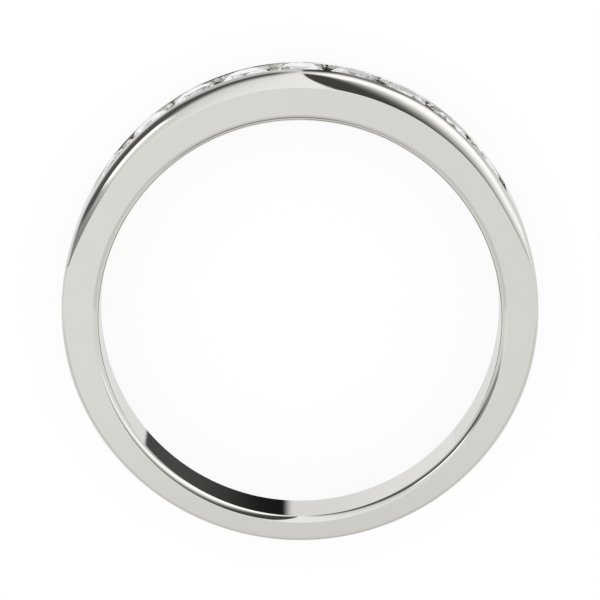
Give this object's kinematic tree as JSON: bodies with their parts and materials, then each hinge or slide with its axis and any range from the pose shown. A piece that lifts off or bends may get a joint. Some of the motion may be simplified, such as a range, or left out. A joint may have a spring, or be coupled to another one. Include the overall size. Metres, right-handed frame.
{
  "type": "wedding ring",
  "caption": "Polished white gold wedding band with round stones channel-set across its thicker top, lying on its side.",
  "frame": {"origin": "centre of the finger hole, half way along the band's width", "axes": "+Z along the finger hole's axis, +Y from the centre towards the middle stone; the ring lies on the side face at -Z"},
  "size_m": [0.0204, 0.0206, 0.0032],
  "materials": {
    "white_gold": "polished",
    "stone": "faceted and clear"
  },
  "bodies": {
    "root": {"band": "white_gold", "stone_1": "stone", "stone_2": "stone", "stone_3": "stone", "stone_4": "stone", "stone_5": "stone", "stone_6": "stone", "stone_7": "stone", "stone_8": "stone", "stone_9": "stone"}
  },
  "joints": []
}
